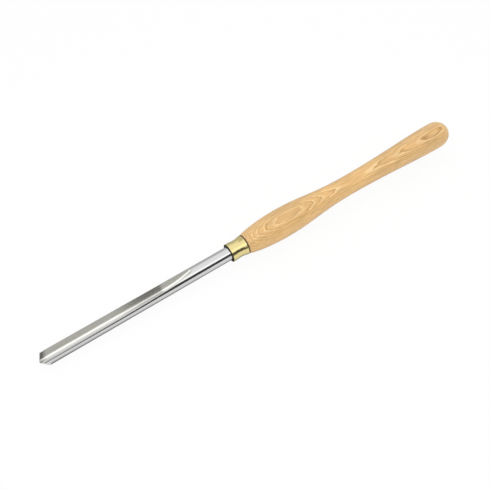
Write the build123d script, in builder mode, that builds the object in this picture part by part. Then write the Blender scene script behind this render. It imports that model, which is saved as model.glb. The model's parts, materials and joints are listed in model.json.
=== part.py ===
from build123d import *
from math import acos, asin, atan, atan2, cos, degrees, hypot, radians, sin, sqrt, tan
import os

# A bowl gouge for turning wooden bowls: a round bar of high speed steel with a flute ground along
# its top, glued into a turned ash handle whose front end a brass ferrule keeps from splitting.
# Sizes are millimetres, +Z is up, and the gouge is symmetric about Y = 0. X runs from the nose to
# the end of the handle. The gouge lies as it comes to rest on a bench, flute up, on the heel of its
# bevel and the front swell of its handle. The origin is on the bench, below the middle of its length.
#
# A station is a place along the axis of the tool. Station 0 is the shoulder where the ferrule meets
# the handle: the blade has negative stations and the handle positive ones.

# Blade
bar_diameter = 16.0
exposed_length = 222.8
tang_length = 62.0
tang_chamfer = 1.0
flute_width = 10.3
flute_floor_below_axis = 0.75
flute_floor_radius = 2.6
flute_full_length = 140.8
wheel_radius = 70.0
nose_bevel = 34.0
wing_bevel = 64.0
nose_round = 2.5
grindstone_radius = 75.0

# Ferrule
ferrule_length = 20.5
ferrule_bore = 19.0
ferrule_front_diameter = 21.9
ferrule_cove_diameter = 20.9
ferrule_rear_diameter = 23.7
ferrule_front_land = 5.5
ferrule_rear_land = 1.2
cove_station = -9.5
ferrule_edge_round = 0.35

# Handle. Three curves make its outline. Each leaves its ends along the tool, or at the flare of the
# shoulder, and a reach says how far it holds that direction.
shoulder_diameter = 22.9
shoulder_flare = 18.4
shoulder_round = 0.8
shoulder_reach = 17.0
swell_station = 54.0
swell_diameter = 35.4
swell_front_reach = 9.0
swell_rear_reach = 38.0
waist_station = 154.0
waist_diameter = 24.4
waist_front_reach = 51.0
waist_rear_reach = 58.0
butt_station = 299.7
butt_diameter = 34.5
butt_front_reach = 33.0
butt_parallel = 8.0

# Fits
tenon_clearance = 0.05
tenon_recess = 0.4
glue_gap = 0.1

# Radii and stations that follow
bar_radius = bar_diameter / 2
front_face = -ferrule_length
nose = front_face - exposed_length
flute_end = nose + flute_full_length
tenon_front = front_face + tenon_recess
tenon_radius = ferrule_bore / 2 - tenon_clearance
shoulder_radius = shoulder_diameter / 2
swell_radius = swell_diameter / 2
waist_radius = waist_diameter / 2
butt_radius = butt_diameter / 2
dome_centre = butt_station + butt_parallel

# The bevel is part of a cone that opens backwards. It leans back in the plane of symmetry, so that
# its lower side is the bevel under the nose and its upper sides are the steeper wings, and its tip
# is rounded. The rounded tip starts on the floor of the flute. The side of the cone isn't straight
# but a little hollow, from the rim of the grindstone, between the tip and the heel.
cone_angle = (nose_bevel + wing_bevel) / 2
cone_lean = (wing_bevel - nose_bevel) / 2
backward = Vector(cos(radians(cone_lean)), sin(radians(cone_lean)))
bevel_line = Vector(cos(radians(nose_bevel)), -sin(radians(nose_bevel)))
round_front = Vector(nose, -flute_floor_below_axis)
round_centre = round_front + backward * nose_round
cone_tip = round_centre - backward * (nose_round / sin(radians(cone_angle)))
heel = cone_tip.X + (bar_radius + cone_tip.Y) / tan(radians(nose_bevel))
tip_end = cone_tip + bevel_line * (nose_round / tan(radians(cone_angle)))
heel_point = Vector(heel, -bar_radius)
half_bevel = (heel_point - tip_end).length / 2
grindstone_centre = (tip_end + heel_point) / 2 + Vector(
    bevel_line.Y, -bevel_line.X
) * sqrt(grindstone_radius**2 - half_bevel**2)


def handle_curves():
    """The outline of the handle from the shoulder to the rear swell."""
    flare = radians(shoulder_flare)
    front = Bezier(
        (0, shoulder_radius),
        (
            shoulder_reach * cos(flare),
            shoulder_radius + shoulder_reach * sin(flare),
        ),
        (swell_station - swell_front_reach, swell_radius),
        (swell_station, swell_radius),
    )
    middle = Bezier(
        (swell_station, swell_radius),
        (swell_station + swell_rear_reach, swell_radius),
        (waist_station - waist_front_reach, waist_radius),
        (waist_station, waist_radius),
    )
    rear = Bezier(
        (waist_station, waist_radius),
        (waist_station + waist_rear_reach, waist_radius),
        (butt_station - butt_front_reach, butt_radius),
        (butt_station, butt_radius),
    )
    return front, middle, rear


# How the gouge lies: the bench is the straight line through the heel that just touches the swell.
with BuildLine():
    touching = handle_curves()[:2]
outline_steps = 400
outline_points = [
    curve @ (step / outline_steps)
    for curve in touching
    for step in range(outline_steps + 1)
]
bench_slope = max((p.Y - bar_radius) / (p.X - heel) for p in outline_points)
lie_angle = atan(bench_slope)
axis_height = bar_radius * cos(lie_angle) - heel * sin(lie_angle)
nose_x = nose * cos(lie_angle) + flute_floor_below_axis * sin(lie_angle)
butt_x = dome_centre * cos(lie_angle) + butt_radius

# Outlines are drawn on the side plane. Its X is the axis of the tool, and its Y is up from there.
side = Plane(
    origin=(-(nose_x + butt_x) / 2, 0, axis_height),
    x_dir=(cos(lie_angle), 0, sin(lie_angle)),
    z_dir=(0, -1, 0),
)
tool_axis = Axis(side.origin, side.x_dir)


def across(station):
    """The plane across the tool at a station, with its normal towards the handle."""
    return Plane(
        origin=side.from_local_coords((station, 0, 0)),
        x_dir=(0, 1, 0),
        z_dir=side.x_dir,
    )


def flute_section(station):
    """The section of the grinding wheel: a round floor, and straight walls that pass the lips."""
    lip_x = flute_width / 2
    lip_y = sqrt(bar_radius**2 - lip_x**2)
    floor_centre = flute_floor_radius - flute_floor_below_axis
    lip_distance = hypot(lip_x, lip_y - floor_centre)
    wall_angle = atan2(lip_x, lip_y - floor_centre) - asin(
        flute_floor_radius / lip_distance
    )
    foot_x = flute_floor_radius * cos(wall_angle)
    foot_y = floor_centre - flute_floor_radius * sin(wall_angle)
    top_y = bar_diameter
    top_x = lip_x + (top_y - lip_y) * tan(wall_angle)
    with BuildSketch(across(station)) as section:
        with BuildLine():
            ThreePointArc(
                (-foot_x, foot_y), (0, -flute_floor_below_axis), (foot_x, foot_y)
            )
            Polyline(
                (foot_x, foot_y), (top_x, top_y), (-top_x, top_y), (-foot_x, foot_y)
            )
        make_face()
    return section.sketch


# The blade is one round bar. The wheel runs at full depth along the flute, and where it stops it
# leaves its own radius in the steel, a long pointed run-out. Then the bevel is ground.
with BuildPart() as blade:
    with BuildSketch(across(nose)):
        Circle(bar_radius)
    extrude(amount=tang_length - nose)
    chamfer(blade.edges().sort_by(tool_axis)[-1], length=tang_chamfer)

    extrude(flute_section(nose), amount=flute_full_length, mode=Mode.SUBTRACT)
    wheel_centre = (flute_end, wheel_radius - flute_floor_below_axis, 0)
    wheel_exit = acos(1 - (bar_radius + flute_floor_below_axis) / wheel_radius)
    wheel_overrun = 1.2
    revolve(
        flute_section(flute_end),
        axis=Axis(side.from_local_coords(wheel_centre), -Vector(0, 1, 0)),
        revolution_arc=wheel_overrun * degrees(wheel_exit),
        mode=Mode.SUBTRACT,
    )

    stone_reach = 2 * bar_diameter
    degrees_past_heel = 2
    with BuildSketch(side):
        with BuildLine():
            TangentArc(
                round_front, tip_end, tangent=Vector(backward.Y, -backward.X)
            )
            hollow = ThreePointArc(
                tip_end,
                heel_point,
                grindstone_centre
                + (heel_point - grindstone_centre).rotate(Axis.Z, -degrees_past_heel),
            )
            Polyline(
                hollow @ 1,
                cone_tip + bevel_line * stone_reach,
                cone_tip + (bevel_line - backward) * stone_reach,
                cone_tip - backward * stone_reach,
                round_front,
            )
        make_face()
    revolve(
        axis=Axis(
            side.from_local_coords(round_front),
            side.from_local_coords(round_centre) - side.from_local_coords(round_front),
        ),
        mode=Mode.SUBTRACT,
    )
blade.part.label = "blade"

# The ferrule is a turned brass tube with a shallow cove outside, flared to meet the shoulder.
with BuildPart() as ferrule:
    front_radius = ferrule_front_diameter / 2
    rear_radius = ferrule_rear_diameter / 2
    bore_radius = ferrule_bore / 2
    with BuildSketch(side):
        with BuildLine():
            cove = ThreePointArc(
                (front_face + ferrule_front_land, front_radius),
                (cove_station, ferrule_cove_diameter / 2),
                (-ferrule_rear_land, rear_radius),
            )
            Polyline(
                cove @ 1,
                (0, rear_radius),
                (0, bore_radius),
                (front_face, bore_radius),
                (front_face, front_radius),
                cove @ 0,
            )
        make_face()
    revolve(axis=tool_axis)
    ends = ferrule.edges().group_by(tool_axis)
    rims = [ends[0].sort_by(SortBy.RADIUS)[-1], ends[-1].sort_by(SortBy.RADIUS)[-1]]
    fillet(rims, radius=ferrule_edge_round)
ferrule.part.label = "ferrule"

# The handle is turned from one piece of ash. The ferrule fits over its tenon, against the shoulder,
# and the tang of the blade stands on the floor of a blind socket.
with BuildPart() as handle:
    with BuildSketch(side):
        with BuildLine():
            handle_curves()
            Line((butt_station, butt_radius), (dome_centre, butt_radius))
            CenterArc((dome_centre, 0), butt_radius, 0, 90)
            Polyline(
                (dome_centre + butt_radius, 0),
                (tenon_front, 0),
                (tenon_front, tenon_radius),
                (0, tenon_radius),
                (0, shoulder_radius),
            )
        make_face()
    revolve(axis=tool_axis)
    shoulder_point = side.from_local_coords((0, shoulder_radius, 0))
    fillet(handle.edges().sort_by_distance(shoulder_point)[0], radius=shoulder_round)
    with BuildSketch(across(tenon_front)):
        Circle(bar_radius + glue_gap)
    extrude(amount=tang_length - tenon_front, mode=Mode.SUBTRACT)
handle.part.label = "handle"

os.makedirs("parts", exist_ok=True)
export_step(blade.part, "parts/blade.step")
export_step(ferrule.part, "parts/ferrule.step")
export_step(handle.part, "parts/handle.step")
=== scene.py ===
# %% [markdown]
# # A bowl gouge, finished for its picture
#
# A bowl gouge is the tool that hollows wooden bowls on a lathe. It has three pieces: a round bar of
# high speed steel with a flute ground along its top, a brass ferrule, and a turned ash handle. Their
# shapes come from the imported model, which is a fixed frame here. What they lack is their finish, and
# that is what this script makes: polished and ground steel, turned brass, and lacquered ash with the
# rings of the tree in it. It also sets up a camera and a small white studio.
#
# Blender works in metres. Sizes on this tool are a few millimetres, so they are written as a number of
# millimetres times `MM`.

import json
from math import cos, pi, radians, sin

import bmesh
import bpy
from mathutils import Matrix, Vector

MM = 0.001

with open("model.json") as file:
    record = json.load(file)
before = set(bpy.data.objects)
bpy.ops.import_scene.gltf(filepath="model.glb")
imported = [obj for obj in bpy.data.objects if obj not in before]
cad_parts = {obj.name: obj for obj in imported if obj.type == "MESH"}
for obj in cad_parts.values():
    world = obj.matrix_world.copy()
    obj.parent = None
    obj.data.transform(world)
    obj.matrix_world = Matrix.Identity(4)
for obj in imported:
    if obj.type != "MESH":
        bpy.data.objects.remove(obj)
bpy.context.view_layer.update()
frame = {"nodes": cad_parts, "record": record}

# %% [markdown]
# ## The axis of the tool
#
# All three pieces are turned or drawn round one line. The gouge lies on its bevel and on the swell of
# its handle, so this line climbs by about two degrees and isn't the X axis. Every pattern below follows
# it, so it is measured first. The record holds a point on it and its direction, at the mount where a
# jig clamps the bar. A place along the line is called a station, and station 0 is the joint between the
# brass and the wood.

# %% Measure the axis
bar_mount = next(m for m in frame["record"]["mounts"] if m["name"] == "bar")
BAR_RADIUS = bar_mount["dims"]["r_mm"] * MM
axis = -Vector(bar_mount["axis"]).normalized()
mount_point = Vector(bar_mount["pos_m"])


def stretch(node):
    """The first and last place of a node along the axis, from the mount."""
    places = [(v.co - mount_point).dot(axis) for v in frame["nodes"][node].data.vertices]
    return min(places), max(places)


ferrule_start, ferrule_end = stretch("ferrule")
JOINT = mount_point + axis * ferrule_end
FERRULE_FRONT = ferrule_start - ferrule_end
NOSE = stretch("blade")[0] - ferrule_end
BUTT = stretch("handle")[1] - ferrule_end
print(f"nose at {NOSE / MM:.1f}, ferrule from {FERRULE_FRONT / MM:.1f}, handle to {BUTT / MM:.1f} mm")

# %% [markdown]
# ## The camera
#
# The photograph looks down on the tool from the side of its nose. How fast the bar narrows towards the
# handle gives the distance, about half a metre, and that distance with the size of the picture gives
# the lens. The camera aims at the joint, which is almost in the middle of the picture. It keeps its
# horizon level, so the slant of the tool in the picture comes from the direction of view alone.

# %% Set the camera
VIEW_AZIMUTH = radians(-34.4)
VIEW_ELEVATION = radians(53.4)
VIEW_DISTANCE = 552 * MM
LENS = 35.7
AIM_ALONG = 0.8 * MM
AIM_BELOW = 0.9 * MM

to_camera = Vector(
    (
        sin(VIEW_AZIMUTH) * cos(VIEW_ELEVATION),
        -cos(VIEW_AZIMUTH) * cos(VIEW_ELEVATION),
        sin(VIEW_ELEVATION),
    )
)
below_tool = axis.cross(to_camera).normalized()
aim = JOINT + axis * AIM_ALONG + below_tool * AIM_BELOW

camera_data = bpy.data.cameras.new("camera")
camera_data.lens = LENS
camera = bpy.data.objects.new("camera", camera_data)
camera.location = aim + to_camera * VIEW_DISTANCE
camera.rotation_euler = (-to_camera).to_track_quat("-Z", "Y").to_euler()
bpy.context.scene.collection.objects.link(camera)
bpy.context.scene.camera = camera
print("camera at", [round(x, 3) for x in camera.location])

# %% [markdown]
# ## Helpers for materials
#
# Colours are picked as sRGB hex values, as in any paint program, but shaders work on linear light, so
# one function converts them. A second one adds a node: its settings are attributes, and its inputs are
# numbers, colours or the outputs of other nodes. The third starts a material whose coordinates follow
# the tool: metres along the axis, across it and away from the bench. It can turn them about the axis,
# which the wood needs. The last one gives a piece its material. Blender's noise runs from 0 to 1, but it
# is mostly between 0.3 and 0.7, so that is the range that most patterns here stretch.

# %% Define the helpers
NOISE_LOW = 0.3
NOISE_HIGH = 0.7


def linear(code):
    """An sRGB hex colour as linear RGBA."""
    shares = [int(code[i : i + 2], 16) / 255 for i in (1, 3, 5)]
    return [s / 12.92 if s <= 0.04045 else ((s + 0.055) / 1.055) ** 2.4 for s in shares] + [1]


def add(tree, kind, inputs=None, **settings):
    """Adds a shader node. An input is a value, or the output of another node."""
    made = tree.nodes.new("ShaderNode" + kind)
    for name, value in settings.items():
        setattr(made, name, value)
    for name, value in (inputs or {}).items():
        if isinstance(value, bpy.types.NodeSocket):
            tree.links.new(value, made.inputs[name])
        else:
            made.inputs[name].default_value = value
    return made


def start_material(name, turn=0.0):
    """A new material, and the tool's own coordinates in it, turned about the axis."""
    material = bpy.data.materials.new(name)
    material.use_nodes = True
    tree = material.node_tree
    tree.nodes.clear()
    sideways = Vector((0, 1, 0))
    upward = axis.cross(sideways)
    facing = Matrix((axis, sideways, upward)).transposed() @ Matrix.Rotation(turn, 3, "X")
    place = add(tree, "TexCoord").outputs["Object"]
    local = add(
        tree,
        "Mapping",
        {"Vector": place, "Location": JOINT, "Rotation": facing.to_euler()},
        vector_type="TEXTURE",
    )
    return material, tree, local.outputs["Vector"]


def dress(node, material):
    """Gives a CAD node its material."""
    frame["nodes"][node].material_slots[0].material = material
    print(node, "wears", material.name, "of", len(material.node_tree.nodes), "nodes")


print("a middle grey in linear light:", [round(x, 3) for x in linear("#808080")])

# %% [markdown]
# ## High speed steel
#
# The bar is high speed steel, ground round and polished, so it mirrors the studio in long clean lines.
# A wheel cut the flute along the bar, and left it satin with fine streaks in its own direction. The
# bevel comes off a grindstone, whose marks run from the cutting edge to the heel. One material does all
# of it, with masks made from places on the tool. The first is simple: inside the bar's own radius the
# surface is a ground one, because both the flute and the bevel are cut into the round bar.

# %% Measure the ground surfaces
POLISHED_STEEL = "#D5D6D5"
FLUTE_STEEL = "#E9E8E3"
CUT_DEPTH = 0.03 * MM
CUT_BLEND = 0.05 * MM

steel, tree, local = start_material("high_speed_steel_ground_and_polished")
parts = add(tree, "SeparateXYZ", {0: local})
station = parts.outputs["X"]
height = parts.outputs["Z"]
section = add(tree, "VectorMath", {0: local, 1: (0, 1, 1)}, operation="MULTIPLY").outputs[0]
radius = add(tree, "VectorMath", {0: section}, operation="LENGTH").outputs["Value"]
ground = add(
    tree,
    "MapRange",
    {
        "Value": radius,
        "From Min": BAR_RADIUS - CUT_DEPTH - CUT_BLEND,
        "From Max": BAR_RADIUS - CUT_DEPTH,
        "To Min": 1.0,
        "To Max": 0.0,
    },
).outputs[0]
print(f"polished beyond a radius of {(BAR_RADIUS - CUT_DEPTH) / MM:.2f} mm, ground inside it")

# %% [markdown]
# ### The bevel
#
# The bevel is part of a cone that leans back, so its distance from any point is easy to work out: the
# place along the cone's axis, the distance from that axis, and the cone's angle give it.

# %% Measure from the bevel
CONE_LEAN = radians(15)
CONE_ANGLE = radians(49)
CONE_TIP_AHEAD = 0.78 * MM
CONE_TIP_BELOW = 0.96 * MM

cone_axis = Vector((cos(CONE_LEAN), 0, sin(CONE_LEAN)))
cone_tip = Vector((NOSE - CONE_TIP_AHEAD, 0, -CONE_TIP_BELOW))
from_tip = add(tree, "VectorMath", {0: local, 1: cone_tip}, operation="SUBTRACT").outputs[0]
along_cone = add(
    tree, "VectorMath", {0: from_tip, 1: cone_axis}, operation="DOT_PRODUCT"
).outputs["Value"]
on_axis = add(
    tree, "VectorMath", {0: cone_axis, "Scale": along_cone}, operation="SCALE"
).outputs[0]
off_axis = add(tree, "VectorMath", {0: from_tip, 1: on_axis}, operation="SUBTRACT").outputs[0]
off_length = add(tree, "VectorMath", {0: off_axis}, operation="LENGTH").outputs["Value"]
inward = add(
    tree, "Math", {0: along_cone, 1: sin(CONE_ANGLE)}, operation="MULTIPLY"
).outputs[0]
depth = add(
    tree, "Math", {0: off_length, 1: -cos(CONE_ANGLE), 2: inward}, operation="MULTIPLY_ADD"
).outputs[0]
print("tip of the bevel's cone in mm:", [round(x / MM, 2) for x in cone_tip])

# %% [markdown]
# Close to zero, this distance marks the bevel. Further in it marks the last millimetres of the flute
# before the cutting edge, which the slip stone has honed; their darker grey is painted shade, for the
# darker surroundings that they mirror. Dividing a place by its distance from the cone's axis leaves only
# its direction, and a noise on directions makes marks that run from the edge to the heel. The real marks
# are about a tenth of a millimetre wide. That is too fine to show, so they are drawn about three times as
# wide.

# %% Mark the bevel and paint shade on the honed front
BEVEL_DEPTH = 0.3 * MM
HONED_SHADE_WIDTH = 6 * MM
HONED_SHADE = 0.48
GRIT_MARK = 0.35 * MM
MARK_RADIUS = 5 * MM

bevel = add(
    tree,
    "MapRange",
    {
        "Value": depth,
        "From Min": BEVEL_DEPTH,
        "From Max": BEVEL_DEPTH + CUT_BLEND,
        "To Min": 1.0,
        "To Max": 0.0,
    },
).outputs[0]
# Painted shade: the honed front of the flute is darkened for the darker surroundings it mirrors.
honed_shade = add(
    tree,
    "MapRange",
    {
        "Value": depth,
        "From Min": BEVEL_DEPTH,
        "From Max": HONED_SHADE_WIDTH,
        "To Min": HONED_SHADE,
        "To Max": 1.0,
    },
    interpolation_type="SMOOTHSTEP",
).outputs[0]
direction = add(tree, "VectorMath", {0: off_axis}, operation="NORMALIZE").outputs[0]
bevel_marks = add(
    tree,
    "TexNoise",
    {"Vector": direction, "Scale": MARK_RADIUS / GRIT_MARK, "Detail": 2.0},
).outputs[0]
print(f"bevel marks {GRIT_MARK / MM} mm wide, honed up to {HONED_SHADE_WIDTH / MM:.0f} mm from the bevel")

# %% [markdown]
# ### The flute
#
# Only the round bar is polished all along. In the flute, the stretch behind the honed edge is bright
# from use, and the run-out is bright because there the wheel barely touched. Between them is a dull
# stretch, which comes on slowly and stops where the wheel was lifted.

# %% Mark the dull stretch
DULL_START = -165 * MM
DULL_FULL = -120 * MM
DULL_STOP = -107 * MM
DULL_END = -102 * MM
DULL_SHARE = 0.61

coming = add(
    tree,
    "MapRange",
    {"Value": station, "From Min": DULL_START, "From Max": DULL_FULL},
    interpolation_type="SMOOTHSTEP",
).outputs[0]
going = add(
    tree,
    "MapRange",
    {"Value": station, "From Min": DULL_STOP, "From Max": DULL_END, "To Min": 1.0, "To Max": 0.0},
    interpolation_type="SMOOTHSTEP",
).outputs[0]
dull = add(tree, "Math", {0: coming, 1: going}, operation="MULTIPLY").outputs[0]
flute_shade = add(
    tree, "MapRange", {"Value": dull, "To Min": 1.0, "To Max": DULL_SHARE}
).outputs[0]
print(f"flute dull from {DULL_START / MM:.0f} to {DULL_END / MM:.0f} mm")

# %% [markdown]
# The floor of the flute mirrors the bright card, and a painted highlight in its colour makes that line
# brighter still. Its height is known: it runs along the axis until the wheel was lifted, and then climbs
# along the wheel's own circle, for which a parabola is close enough. The painted highlight makes up for
# some of the dullness, and it fades where the floor climbs out.

# %% Paint the highlight on the flute floor
FLUTE_END = -102.5 * MM
FLOOR_BELOW = 0.75 * MM
WHEEL_RADIUS = 70 * MM
HIGHLIGHT_HEIGHT = 1.8 * MM
HIGHLIGHT_SHARE = 1.13
HIGHLIGHT_DULL_SHARE = 1.33
FADE_FROM = 1.0 * MM
FADE_TO = 5.0 * MM

past_end = add(tree, "Math", {0: station, 1: FLUTE_END}, operation="SUBTRACT").outputs[0]
past_end = add(tree, "Math", {0: past_end, 1: 0.0}, operation="MAXIMUM").outputs[0]
climb = add(tree, "Math", {0: past_end, 1: 2.0}, operation="POWER").outputs[0]
above_floor = add(
    tree,
    "Math",
    {0: climb, 1: -1 / (2 * WHEEL_RADIUS), 2: height},
    operation="MULTIPLY_ADD",
).outputs[0]
# Painted highlight: the floor's colour is raised, more so in the dull stretch.
highlight_gain = add(
    tree,
    "MapRange",
    {"Value": dull, "To Min": HIGHLIGHT_SHARE - 1, "To Max": HIGHLIGHT_DULL_SHARE - 1},
).outputs[0]
painted_highlight = add(
    tree,
    "MapRange",
    {
        "Value": above_floor,
        "From Min": -FLOOR_BELOW,
        "From Max": HIGHLIGHT_HEIGHT,
        "To Min": highlight_gain,
        "To Max": 0.0,
    },
    interpolation_type="SMOOTHSTEP",
).outputs[0]
highlight_fade = add(
    tree,
    "MapRange",
    {"Value": height, "From Min": FADE_FROM, "From Max": FADE_TO, "To Min": 1.0, "To Max": 0.0},
).outputs[0]
painted_highlight = add(
    tree, "Math", {0: painted_highlight, 1: highlight_fade, 2: 1.0}, operation="MULTIPLY_ADD"
).outputs[0]
print(f"floor burnished up to {HIGHLIGHT_HEIGHT / MM:.1f} mm above the axis")

# %% [markdown]
# The wheel's grit leaves streaks along the flute, each a few centimetres long. The real ones are too fine
# to show, so they are drawn half a millimetre wide. A noise that is stretched along the tool makes them,
# and they shift the shade a little.

# %% Mark the streaks
STREAK_WIDTH = 0.5 * MM
STREAK_LENGTH = 40 * MM
STREAK_DARK = 0.92
STREAK_LIGHT = 1.05

streak_place = add(
    tree,
    "VectorMath",
    {0: local, 1: (1 / STREAK_LENGTH, 1 / STREAK_WIDTH, 1 / STREAK_WIDTH)},
    operation="MULTIPLY",
).outputs[0]
streaks = add(
    tree, "TexNoise", {"Vector": streak_place, "Scale": 1.0, "Detail": 3.0}
).outputs[0]
streak_shade = add(
    tree,
    "MapRange",
    {
        "Value": streaks,
        "From Min": NOISE_LOW,
        "From Max": NOISE_HIGH,
        "To Min": STREAK_DARK,
        "To Max": STREAK_LIGHT,
    },
).outputs[0]
print(f"streaks {STREAK_WIDTH / MM} by {STREAK_LENGTH / MM:.0f} mm")

# %% [markdown]
# ### Putting the steel together
#
# The shades, among them the painted highlight on the floor and the painted shade at the front, multiply
# the colour of the ground steel, and the ground mask lays it over the polished one.
# Roughness follows the same masks. The streaks and the marks of the stone are bumps too, of a few
# micrometres.

# %% Finish the steel
POLISHED_ROUGHNESS = 0.09
GROUND_ROUGHNESS = 0.14
DULL_ROUGHNESS = 0.3
MARK_LOW = 0.35
MARK_HIGH = 0.65
MARK_DARK = 0.5
MARK_LIGHT = 0.75
MARK_DEPTH = 0.012 * MM
MARK_BUMP = 0.5

shade = add(tree, "Math", {0: flute_shade, 1: streak_shade}, operation="MULTIPLY").outputs[0]
shade = add(tree, "Math", {0: shade, 1: honed_shade}, operation="MULTIPLY").outputs[0]
shade = add(tree, "Math", {0: shade, 1: painted_highlight}, operation="MULTIPLY").outputs[0]
marked = add(
    tree,
    "MapRange",
    {
        "Value": bevel_marks,
        "From Min": MARK_LOW,
        "From Max": MARK_HIGH,
        "To Min": MARK_DARK,
        "To Max": MARK_LIGHT,
    },
).outputs[0]
shade = add(tree, "Mix", {0: bevel, 2: shade, 3: marked}, data_type="FLOAT").outputs[0]
flute_colour = add(
    tree, "VectorMath", {0: linear(FLUTE_STEEL)[:3], "Scale": shade}, operation="SCALE"
).outputs[0]
colour = add(
    tree,
    "Mix",
    {0: ground, 6: linear(POLISHED_STEEL), 7: flute_colour},
    data_type="RGBA",
).outputs[2]
ground_roughness = add(
    tree, "MapRange", {"Value": dull, "To Min": GROUND_ROUGHNESS, "To Max": DULL_ROUGHNESS}
).outputs[0]
roughness = add(
    tree, "MapRange", {"Value": ground, "To Min": POLISHED_ROUGHNESS, "To Max": ground_roughness}
).outputs[0]
marks = add(tree, "Mix", {0: bevel, 2: streaks, 3: bevel_marks}, data_type="FLOAT").outputs[0]
marks = add(tree, "Math", {0: marks, 1: ground}, operation="MULTIPLY").outputs[0]
bump = add(
    tree, "Bump", {"Height": marks, "Strength": MARK_BUMP, "Distance": MARK_DEPTH}
).outputs[0]
shader = add(
    tree,
    "BsdfPrincipled",
    {"Base Color": colour, "Metallic": 1.0, "Roughness": roughness, "Normal": bump},
)
add(tree, "OutputMaterial", {"Surface": shader.outputs[0]})
dress("blade", steel)

# %% [markdown]
# ## Brass
#
# The ferrule was turned on a lathe and polished, so it has fine lines round it and nothing along it. The
# real lines are about a tenth of a millimetre apart, too fine to show, so they are drawn wider apart.
# Its two ends were never polished. The front end, round the bar, is painted nearly black, and the last
# millimetre before the joint with the wood is painted brown, as painted shade in the groove there. Two
# masks, made from places along the tool, say how far the brass is from each dark end.

# %% Mark the lines and the ends
TURNING_PITCH = 0.35 * MM
FACE_DEPTH = 0.12 * MM
RIM_DEPTH = 0.3 * MM
BRASS_SHADE_FROM = 0.9 * MM
BRASS_SHADE_FULL = 0.2 * MM

brass, tree, local = start_material("turned_brass")
station = add(tree, "SeparateXYZ", {0: local}).outputs["X"]
ring_place = add(
    tree,
    "VectorMath",
    {0: local, 1: (1 / TURNING_PITCH, 0, 0)},
    operation="MULTIPLY",
).outputs[0]
rings = add(tree, "TexNoise", {"Vector": ring_place, "Scale": 1.0, "Detail": 2.0}).outputs[0]
# The front end of the brass, round the bar, is painted nearly black.
clear_of_front = add(
    tree,
    "MapRange",
    {
        "Value": station,
        "From Min": FERRULE_FRONT + FACE_DEPTH,
        "From Max": FERRULE_FRONT + RIM_DEPTH,
    },
).outputs[0]
# Painted shade: the brass darkens towards the groove at the joint with the wood.
clear_of_joint_shade = add(
    tree,
    "MapRange",
    {
        "Value": station,
        "From Min": -BRASS_SHADE_FROM,
        "From Max": -BRASS_SHADE_FULL,
        "To Min": 1.0,
        "To Max": 0.0,
    },
).outputs[0]
clear_of_ends = add(tree, "Math", {0: clear_of_front, 1: clear_of_joint_shade}, operation="MULTIPLY").outputs[0]
print(f"brass brown over its last {BRASS_SHADE_FROM / MM} mm, turned lines {TURNING_PITCH / MM} mm apart")

# %% [markdown]
# The masks choose between polished brass, the black front end and the painted shade at the joint, which
# are also rough. The lines change the roughness of the polished brass a little, and they are a bump, so
# slight that the highlights only waver.

# %% Finish the brass
BRASS = "#E9D99A"
FRONT_BLACK = "#21180C"
JOINT_SHADE_BROWN = "#4E3510"
POLISHED_BRASS = 0.2
SCORED_BRASS = 0.22
ENDS_ROUGHNESS = 0.7
TURNING_DEPTH = 0.001 * MM
TURNING_BUMP = 0.3

# Nearly black at the front end, and brown painted shade at the joint.
colour = add(
    tree, "Mix", {0: clear_of_front, 6: linear(FRONT_BLACK), 7: linear(BRASS)}, data_type="RGBA"
).outputs[2]
colour = add(
    tree, "Mix", {0: clear_of_joint_shade, 6: linear(JOINT_SHADE_BROWN), 7: colour}, data_type="RGBA"
).outputs[2]
ring_roughness = add(
    tree,
    "MapRange",
    {
        "Value": rings,
        "From Min": NOISE_LOW,
        "From Max": NOISE_HIGH,
        "To Min": POLISHED_BRASS,
        "To Max": SCORED_BRASS,
    },
).outputs[0]
roughness = add(
    tree, "MapRange", {"Value": clear_of_ends, "To Min": ENDS_ROUGHNESS, "To Max": ring_roughness}
).outputs[0]
bump = add(
    tree, "Bump", {"Height": rings, "Strength": TURNING_BUMP, "Distance": TURNING_DEPTH}
).outputs[0]
shader = add(
    tree,
    "BsdfPrincipled",
    {"Base Color": colour, "Metallic": 1.0, "Roughness": roughness, "Normal": bump},
)
add(tree, "OutputMaterial", {"Surface": shader.outputs[0]})
dress("ferrule", brass)

# %% [markdown]
# ## Ash
#
# The handle is ash, a pale wood with rings that show. The blank was sawn so that its rings lie almost
# flat, like the leaves of a book, with the pith of the tree far below. Turning a swell through them
# leaves closed loops, as contour lines on a hill, and turning a waist leaves lines along the tool. So
# the pattern isn't drawn on the surface: it is a solid one, and the shape of the handle makes the
# loops. First come the rings themselves: the distance from the pith, counted in ring widths. No tree
# grows perfectly straight and round, so the distance is changed by a slight bow along the trunk, by a
# slow noise, and by a quick ripple that frays the tips of the loops.

# %% Count the rings
RING_WIDTH = 1.3 * MM
PITH_DEPTH = 74.8 * MM
RING_TURN = radians(18.6)
BOW_MIDDLE = 140 * MM
BOW_RADIUS = 7.5
WANDER = 0.8 * MM
WANDER_LENGTH = 90 * MM
WANDER_WIDTH = 30 * MM
RIPPLE = 0.9 * MM
RIPPLE_LENGTH = 22 * MM
RIPPLE_WIDTH = 2.6 * MM

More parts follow.
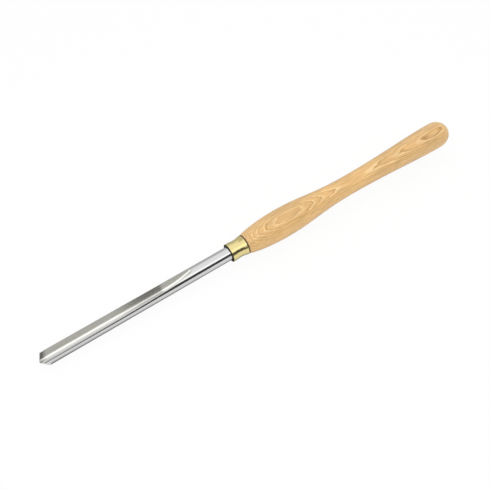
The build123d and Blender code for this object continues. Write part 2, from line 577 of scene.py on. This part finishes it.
ash, tree, local = start_material("lacquered_ash", turn=RING_TURN)
station = add(tree, "SeparateXYZ", {0: local}).outputs["X"]
wander_place = add(
    tree,
    "VectorMath",
    {0: local, 1: (1 / WANDER_LENGTH, 1 / WANDER_WIDTH, 1 / WANDER_WIDTH)},
    operation="MULTIPLY",
).outputs[0]
wander = add(tree, "TexNoise", {"Vector": wander_place, "Scale": 1.0, "Detail": 2.0}).outputs[0]
section = add(tree, "VectorMath", {0: local, 1: (0, 1, 1)}, operation="MULTIPLY").outputs[0]
from_pith = add(
    tree, "VectorMath", {0: section, 1: (0, 0, PITH_DEPTH)}, operation="ADD"
).outputs[0]
distance = add(tree, "VectorMath", {0: from_pith}, operation="LENGTH").outputs["Value"]
ripple_place = add(
    tree,
    "VectorMath",
    {0: local, 1: (1 / RIPPLE_LENGTH, 1 / RIPPLE_WIDTH, 1 / RIPPLE_WIDTH)},
    operation="MULTIPLY",
).outputs[0]
ripple = add(tree, "TexNoise", {"Vector": ripple_place, "Scale": 1.0, "Detail": 3.0}).outputs[0]
from_middle = add(tree, "Math", {0: station, 1: BOW_MIDDLE}, operation="SUBTRACT").outputs[0]
bow = add(tree, "Math", {0: from_middle, 1: from_middle}, operation="MULTIPLY").outputs[0]
moved = add(
    tree, "Math", {0: bow, 1: -1 / (2 * BOW_RADIUS), 2: distance}, operation="MULTIPLY_ADD"
).outputs[0]
moved = add(tree, "Math", {0: wander, 1: WANDER, 2: moved}, operation="MULTIPLY_ADD").outputs[0]
moved = add(tree, "Math", {0: ripple, 1: RIPPLE, 2: moved}, operation="MULTIPLY_ADD").outputs[0]
count = add(tree, "Math", {0: moved, 1: RING_WIDTH}, operation="DIVIDE").outputs[0]
phase = add(tree, "Math", {0: count}, operation="FRACT").outputs[0]
ring = add(tree, "Math", {0: count}, operation="FLOOR").outputs[0]
print(f"rings {RING_WIDTH / MM} mm wide, with the pith {PITH_DEPTH / MM} mm below the axis")

# %% [markdown]
# Where the rings lie flat on the surface they are wide and clear. At the sides they are cut square and
# would be finer than the picture can show, so they fade there. How flat they lie follows from the
# direction from the axis to the surface: it is 1 towards the pith or away from it, and 0 square to that.

# %% Fade the rings at the sides
FAINT_AT_SIDES = 0.35
SIDE_FLATNESS = 0.3
TOP_FLATNESS = 0.85

flatness = add(tree, "VectorMath", {0: section}, operation="NORMALIZE").outputs[0]
flatness = add(tree, "SeparateXYZ", {0: flatness}).outputs["Z"]
flatness = add(tree, "Math", {0: flatness}, operation="ABSOLUTE").outputs[0]
clearness = add(
    tree,
    "MapRange",
    {
        "Value": flatness,
        "From Min": SIDE_FLATNESS,
        "From Max": TOP_FLATNESS,
        "To Min": FAINT_AT_SIDES,
        "To Max": 1.0,
    },
).outputs[0]
print(f"rings at {FAINT_AT_SIDES:.0%} of their strength at the sides")

# %% [markdown]
# ### Early and late wood
#
# In spring ash lays down a band of large pores, which looks darker, and then smooth wood, which on this
# handle is palest just before winter. So each ring starts dark, fades to the colour of the body, and
# ends in a pale line. No two years are the same: a random number for each ring sets how dark its band is
# and how pale its line. A wave across the ring thins the band between its rows of pores.

# %% Shade the rings
BAND_START = 0.05
BAND_END = 0.3
PALE_START = 0.6
PALE_END = 0.9
PORE_ROWS = 3.0
BETWEEN_ROWS = 0.8
FIRST_YEAR = 557
FAINTEST_DARK = 0.2
STRONGEST_PALE = 0.75
FAINTEST_PALE = 0.4

rising = add(
    tree, "MapRange", {"Value": phase, "From Min": 0.0, "From Max": BAND_START}
).outputs[0]
fading = add(
    tree,
    "MapRange",
    {"Value": phase, "From Min": BAND_START, "From Max": BAND_END, "To Min": 1.0, "To Max": 0.0},
    interpolation_type="SMOOTHSTEP",
).outputs[0]
band = add(tree, "Math", {0: rising, 1: fading}, operation="MULTIPLY").outputs[0]
rows = add(tree, "Math", {0: phase, 1: 2 * pi * PORE_ROWS}, operation="MULTIPLY").outputs[0]
rows = add(tree, "Math", {0: rows}, operation="COSINE").outputs[0]
rows = add(
    tree, "MapRange", {"Value": rows, "From Min": -1.0, "To Min": BETWEEN_ROWS, "To Max": 1.0}
).outputs[0]
year = add(tree, "Math", {0: ring, 1: FIRST_YEAR}, operation="ADD").outputs[0]
year = add(tree, "TexWhiteNoise", {"W": year}, noise_dimensions="1D").outputs["Value"]
dark_year = add(
    tree, "MapRange", {"Value": year, "To Min": FAINTEST_DARK, "To Max": 1.0}
).outputs[0]
pale_year = add(
    tree, "MapRange", {"Value": year, "To Min": STRONGEST_PALE, "To Max": FAINTEST_PALE}
).outputs[0]
band = add(tree, "Math", {0: band, 1: rows}, operation="MULTIPLY").outputs[0]
band = add(tree, "Math", {0: band, 1: dark_year}, operation="MULTIPLY").outputs[0]
band = add(tree, "Math", {0: band, 1: clearness}, operation="MULTIPLY").outputs[0]
pale = add(
    tree,
    "MapRange",
    {"Value": phase, "From Min": PALE_START, "From Max": PALE_END},
    interpolation_type="SMOOTHSTEP",
).outputs[0]
pale = add(tree, "Math", {0: pale, 1: pale_year}, operation="MULTIPLY").outputs[0]
pale = add(tree, "Math", {0: pale, 1: clearness}, operation="MULTIPLY").outputs[0]
print(f"early wood over {BAND_END:.0%} of a ring, late wood over the last {1 - PALE_START:.0%}")

# %% [markdown]
# ### Fibres and pores
#
# Close up, the wood is made of fibres along the handle, and the pores are short dark grooves between
# them, mostly in the early bands. Both are noises stretched along the tool. The pores have their real
# size, and only the peaks of their noise count: a level decides, and it is lower in the early bands. The
# fibres are bundles, because a single one is too fine to show.

# %% Add fibres and pores
FIBRE_WIDTH = 1.0 * MM
FIBRE_LENGTH = 26 * MM
PORE_WIDTH = 0.28 * MM
PORE_LENGTH = 5 * MM
FIBRE_DARK = 0.81
FIBRE_LIGHT = 1.15
LATE_PORE_LEVEL = 0.72
EARLY_PORE_LEVEL = 0.5
PORE_EDGE = 0.07

fibre_place = add(
    tree,
    "VectorMath",
    {0: local, 1: (1 / FIBRE_LENGTH, 1 / FIBRE_WIDTH, 1 / FIBRE_WIDTH)},
    operation="MULTIPLY",
).outputs[0]
fibres = add(tree, "TexNoise", {"Vector": fibre_place, "Scale": 1.0, "Detail": 3.0}).outputs[0]
fibre_shade = add(
    tree,
    "MapRange",
    {
        "Value": fibres,
        "From Min": NOISE_LOW,
        "From Max": NOISE_HIGH,
        "To Min": FIBRE_DARK,
        "To Max": FIBRE_LIGHT,
    },
).outputs[0]
pore_place = add(
    tree,
    "VectorMath",
    {0: local, 1: (1 / PORE_LENGTH, 1 / PORE_WIDTH, 1 / PORE_WIDTH)},
    operation="MULTIPLY",
).outputs[0]
pores = add(tree, "TexNoise", {"Vector": pore_place, "Scale": 1.0, "Detail": 1.0}).outputs[0]
pore_level = add(
    tree, "MapRange", {"Value": band, "To Min": LATE_PORE_LEVEL, "To Max": EARLY_PORE_LEVEL}
).outputs[0]
pore_full = add(tree, "Math", {0: pore_level, 1: PORE_EDGE}, operation="ADD").outputs[0]
pores = add(
    tree, "MapRange", {"Value": pores, "From Min": pore_level, "From Max": pore_full}
).outputs[0]
print(f"fibres {FIBRE_WIDTH / MM} mm wide, pores {PORE_WIDTH / MM} by {PORE_LENGTH / MM} mm")

# %% [markdown]
# ### Colour
#
# The wood is warm where its rings are early and pale where they are late, and slow patches shift it a
# little, as on any board. The pores are darker.

# %% Colour the ash
BODY_WOOD = "#DEB171"
LATE_WOOD = "#F5D599"
EARLY_WOOD = "#B5843C"
PORE_BROWN = "#9A6F3C"
PORE_STRENGTH = 0.55
PATCH_SCALE = 1.7
PATCH_DARK = 0.93
PATCH_LIGHT = 1.05

patches = add(
    tree, "TexNoise", {"Vector": wander_place, "Scale": PATCH_SCALE, "Detail": 1.0}
).outputs[0]
patch_shade = add(
    tree,
    "MapRange",
    {
        "Value": patches,
        "From Min": NOISE_LOW,
        "From Max": NOISE_HIGH,
        "To Min": PATCH_DARK,
        "To Max": PATCH_LIGHT,
    },
).outputs[0]
colour = add(
    tree, "Mix", {0: pale, 6: linear(BODY_WOOD), 7: linear(LATE_WOOD)}, data_type="RGBA"
).outputs[2]
colour = add(
    tree, "Mix", {0: band, 6: colour, 7: linear(EARLY_WOOD)}, data_type="RGBA"
).outputs[2]
pore_mix = add(tree, "Math", {0: pores, 1: PORE_STRENGTH}, operation="MULTIPLY").outputs[0]
colour = add(
    tree, "Mix", {0: pore_mix, 6: colour, 7: linear(PORE_BROWN)}, data_type="RGBA"
).outputs[2]
shade = add(tree, "Math", {0: fibre_shade, 1: patch_shade}, operation="MULTIPLY").outputs[0]
colour = add(tree, "VectorMath", {0: colour, "Scale": shade}, operation="SCALE").outputs[0]
print("the body of the wood in linear light:", [round(x, 3) for x in linear(BODY_WOOD)[:3]])

# %% [markdown]
# ### The ends and the lacquer
#
# A thin dark brown line is painted where the wood meets the brass, as painted shade in the groove there,
# and the end of the tenon, inside the ferrule, is painted nearly black. The pores sink into the surface as
# a fine bump. A satin lacquer is over all of it: it is the shader's coat.

# %% Finish the ash
JOINT_SHADE_LINE = "#4A2E10"
JOINT_SHADE_WIDTH = 0.9 * MM
JOINT_SHADE_END = 1.35 * MM
TENON_BLACK = "#0D0A07"
TENON_END = -19 * MM
PORE_DEPTH = 0.04 * MM
PORE_BUMP = 0.5
WOOD_ROUGHNESS = 0.45
LACQUER_WEIGHT = 0.35
LACQUER_ROUGHNESS = 0.22

# Painted shade: a thin dark brown line in the groove where the wood meets the brass.
past_joint_shade = add(
    tree,
    "MapRange",
    {"Value": station, "From Min": JOINT_SHADE_WIDTH, "From Max": JOINT_SHADE_END},
).outputs[0]
colour = add(
    tree, "Mix", {0: past_joint_shade, 6: linear(JOINT_SHADE_LINE), 7: colour}, data_type="RGBA"
).outputs[2]
# The end of the tenon, inside the ferrule, is painted nearly black.
on_tenon_end = add(tree, "Math", {0: station, 1: TENON_END}, operation="LESS_THAN").outputs[0]
colour = add(
    tree, "Mix", {0: on_tenon_end, 6: colour, 7: linear(TENON_BLACK)}, data_type="RGBA"
).outputs[2]
sunk = add(tree, "Math", {0: pores, 1: -1.0}, operation="MULTIPLY").outputs[0]
bump = add(
    tree, "Bump", {"Height": sunk, "Strength": PORE_BUMP, "Distance": PORE_DEPTH}
).outputs[0]
shader = add(
    tree,
    "BsdfPrincipled",
    {
        "Base Color": colour,
        "Roughness": WOOD_ROUGHNESS,
        "Normal": bump,
        "Coat Weight": LACQUER_WEIGHT,
        "Coat Roughness": LACQUER_ROUGHNESS,
    },
)
add(tree, "OutputMaterial", {"Surface": shader.outputs[0]})
dress("handle", ash)

# %% [markdown]
# ## The studio
#
# The floor is a large pale sheet. To the camera it shows mostly its own white, as a lit backdrop does,
# and to mirror-like metal some of it. The rest is a plain matt surface, so a faint shadow of the tool
# stays.

# %% Lay the floor
FLOOR_SIZE = 8.0
FLOOR_PAPER = "#F4F4F2"
SEEN_WHITE = 0.93
MIRRORED_WHITE = 0.3

floor_mesh = bpy.data.meshes.new("floor")
sheet = bmesh.new()
bmesh.ops.create_grid(sheet, x_segments=1, y_segments=1, size=FLOOR_SIZE / 2)
sheet.to_mesh(floor_mesh)
sheet.free()
floor = bpy.data.objects.new("floor", floor_mesh)
bpy.context.scene.collection.objects.link(floor)

paper = bpy.data.materials.new("white_paper_floor")
paper.use_nodes = True
tree = paper.node_tree
tree.nodes.clear()
rays = add(tree, "LightPath")
mirrored = add(
    tree, "Math", {0: rays.outputs["Is Glossy Ray"], 1: MIRRORED_WHITE}, operation="MULTIPLY"
)
share = add(
    tree,
    "Math",
    {0: rays.outputs["Is Camera Ray"], 1: SEEN_WHITE, 2: mirrored.outputs[0]},
    operation="MULTIPLY_ADD",
)
matt = add(tree, "BsdfDiffuse", {"Color": linear(FLOOR_PAPER)})
glow = add(tree, "Emission", {"Color": linear("#FFFFFF"), "Strength": 1.0})
mixed = add(tree, "MixShader", {0: share.outputs[0], 1: matt.outputs[0], 2: glow.outputs[0]})
add(tree, "OutputMaterial", {"Surface": mixed.outputs[0]})
floor_mesh.materials.append(paper)
print("floor", FLOOR_SIZE, "m wide")

# %% [markdown]
# Beyond the floor there is only the world. The camera sees it white, and it gives the tool the softest
# part of its light. Mirror-like metal sees it a little brighter than white.

# %% Light the world
SOFT_LEVEL = 0.7
MIRRORED_SKY = 1.08

world = bpy.data.worlds.new("studio")
bpy.context.scene.world = world
world.use_nodes = True
tree = world.node_tree
tree.nodes.clear()
rays = add(tree, "LightPath")
strength = add(
    tree,
    "MapRange",
    {"Value": rays.outputs["Is Glossy Ray"], "To Min": SOFT_LEVEL, "To Max": MIRRORED_SKY},
)
strength = add(
    tree,
    "Mix",
    {0: rays.outputs["Is Camera Ray"], 2: strength.outputs[0], 3: 1.0},
    data_type="FLOAT",
)
sky = add(tree, "Background", {"Color": linear("#FFFFFF"), "Strength": strength.outputs[0]})
add(tree, "OutputWorld", {"Surface": sky.outputs[0]})
print("world at", SOFT_LEVEL, "for light and", MIRRORED_SKY, "for reflections")

# %% [markdown]
# ## Lamps
#
# Two long soft lamps run along the tool, one on the camera's side and one, a little higher, past the
# top. Mirror-like rays don't see them, because what polished metal shows is arranged apart, with cards.

# %% Hang the lamps
beside = Vector((axis.y, -axis.x, 0)).normalized()
upright = Vector((0, 0, 1))


def hang_lamp(name, elevation, distance, length, width, brightness):
    """A long soft lamp that runs along the tool and faces it. Brightness 1 would show as white."""
    data = bpy.data.lights.new(name, "AREA")
    data.shape = "RECTANGLE"
    data.size = length
    data.size_y = width
    data.energy = brightness * pi * length * width
    lamp = bpy.data.objects.new(name, data)
    outward = beside * cos(elevation) + upright * sin(elevation)
    lamp.location = JOINT + outward * distance
    along = (axis - outward * axis.dot(outward)).normalized()
    lamp.rotation_euler = Matrix((along, outward.cross(along), outward)).transposed().to_euler()
    lamp.visible_glossy = False
    bpy.context.scene.collection.objects.link(lamp)
    print(name, "at", [round(x, 2) for x in lamp.location])


hang_lamp("front_lamp", radians(62), 1.1, 1.8, 0.5, 1.5)
hang_lamp("top_lamp", radians(115), 1.2, 1.6, 0.8, 0.9)

# %% [markdown]
# ## Cards for the metal
#
# A polished bar shows what stands round it, so photographers stand cards there. Each card here is a
# strip between two edges, it glows, and its shade runs from one point to another. Only mirror-like rays
# see it. Places are metres: along the tool from the joint, towards the camera, and up.

# %% Define a card
def studio_place(along, towards, up):
    """A place in the studio, from the floor below the joint."""
    forward = Vector((axis.x, axis.y, 0)).normalized()
    return Vector((JOINT.x, JOINT.y, 0)) + forward * along + beside * towards + upright * up


def stand_card(name, low_edge, high_edge, shades):
    """A glowing card which only mirror-like rays see. Shades are two pairs of a place and a brightness."""
    mesh = bpy.data.meshes.new(name)
    strip = bmesh.new()
    low = [strip.verts.new(studio_place(*place)) for place in low_edge]
    high = [strip.verts.new(studio_place(*place)) for place in high_edge]
    for i in range(len(low) - 1):
        strip.faces.new([low[i], low[i + 1], high[i + 1], high[i]])
    strip.to_mesh(mesh)
    strip.free()
    card = bpy.data.objects.new(name, mesh)
    card.visible_camera = False
    card.visible_diffuse = False
    card.visible_shadow = False
    bpy.context.scene.collection.objects.link(card)

    material = bpy.data.materials.new(name)
    material.use_nodes = True
    tree = material.node_tree
    tree.nodes.clear()
    (start, start_glow), (end, end_glow) = [(studio_place(*place), glow) for place, glow in shades]
    place = add(tree, "TexCoord").outputs["Object"]
    offset = add(tree, "VectorMath", {0: place, 1: start}, operation="SUBTRACT").outputs[0]
    reach = add(
        tree, "VectorMath", {0: offset, 1: (end - start).normalized()}, operation="DOT_PRODUCT"
    ).outputs["Value"]
    glow = add(
        tree,
        "MapRange",
        {"Value": reach, "From Max": (end - start).length, "To Min": start_glow, "To Max": end_glow},
    ).outputs[0]
    emission = add(tree, "Emission", {"Strength": glow})
    add(tree, "OutputMaterial", {"Surface": emission.outputs[0]})
    mesh.materials.append(material)
    print(name, "shades from", start_glow, "to", end_glow)


print("floor below the joint at", [round(x, 3) for x in studio_place(0, 0, 0)])

# %% [markdown]
# A bright card behind the camera makes the bar's bright line, and a pale one goes on below it along the
# blade. A dark one stands lower and nearer, and leans back. It draws the dark line that gives metal an
# edge, and it rises and darkens towards the handle. On the far side, a grey card and a darker one before
# it along the blade shade what faces away from the camera. Two dark cards on the floor, along the tool,
# are a painted shadow: the lower sides of the metal mirror them as the shade under the tool.

# %% Stand the cards
ON_FLOOR = 0.0001

stand_card(
    "bright_card",
    [(-1.5, 0.45, 0.43), (1.5, 0.45, 0.43)],
    [(-1.5, 0.45, 1.3), (1.5, 0.45, 1.3)],
    [((0, 0.45, 0.43), 1.5), ((0, 0.45, 1.3), 1.25)],
)
stand_card(
    "pale_card",
    [(-1.0, 0.46, 0.12), (-0.03, 0.46, 0.12)],
    [(-1.0, 0.46, 0.43), (0.03, 0.46, 0.43)],
    [((0, 0.46, 0.12), 0.88), ((0, 0.46, 0.43), 0.88)],
)
stand_card(
    "dark_card",
    [(-0.5, 0.25, 0), (-0.15, 0.25, 0), (-0.09, 0.25, 0.02), (0.02, 0.25, 0.035), (0.6, 0.25, 0.035)],
    [(-0.5, 0.4, 0.12), (-0.14, 0.4, 0.135), (-0.06, 0.4, 0.23), (0.03, 0.4, 0.36), (0.6, 0.4, 0.41)],
    [((-0.27, 0.25, 0), 0.42), ((-0.13, 0.25, 0), 0.065)],
)
stand_card(
    "grey_card",
    [(-1.8, -1.2, 0), (1.8, -1.2, 0)],
    [(-1.8, -1.2, 1.5), (1.8, -1.2, 1.5)],
    [((0, -1.2, 0), 0.5), ((0, -1.2, 1.45), 1.05)],
)
stand_card(
    "shade_card",
    [(-1.5, -0.6, 0.3), (0.02, -0.6, 0.3)],
    [(-1.5, -0.6, 1.5), (0.16, -0.6, 1.5)],
    [((0, -0.6, 0.3), 0.6), ((0, -0.6, 1.5), 0.6)],
)
# Painted shadow: dark glowing cards on the floor, mirrored by the metal as the shade under the tool.
stand_card(
    "near_shadow_card",
    [(-0.235, 0, ON_FLOOR), (0.33, 0, ON_FLOOR)],
    [(-0.235, 0.05, ON_FLOOR), (0.33, 0.05, ON_FLOOR)],
    [((0, 0.006, 0), 0.1), ((0, 0.022, 0), 0.9)],
)
stand_card(
    "far_shadow_card",
    [(-0.235, 0, ON_FLOOR), (0.33, 0, ON_FLOOR)],
    [(-0.3, -0.8, ON_FLOOR), (0.8, -0.8, ON_FLOOR)],
    [((0, 0, 0), 0.3), ((0, -0.03, 0), 0.55)],
)

# %% [markdown]
# ## Picture settings
#
# The Standard view shows a colour as it is written.

# %% Set the view
bpy.context.scene.view_settings.view_transform = "Standard"
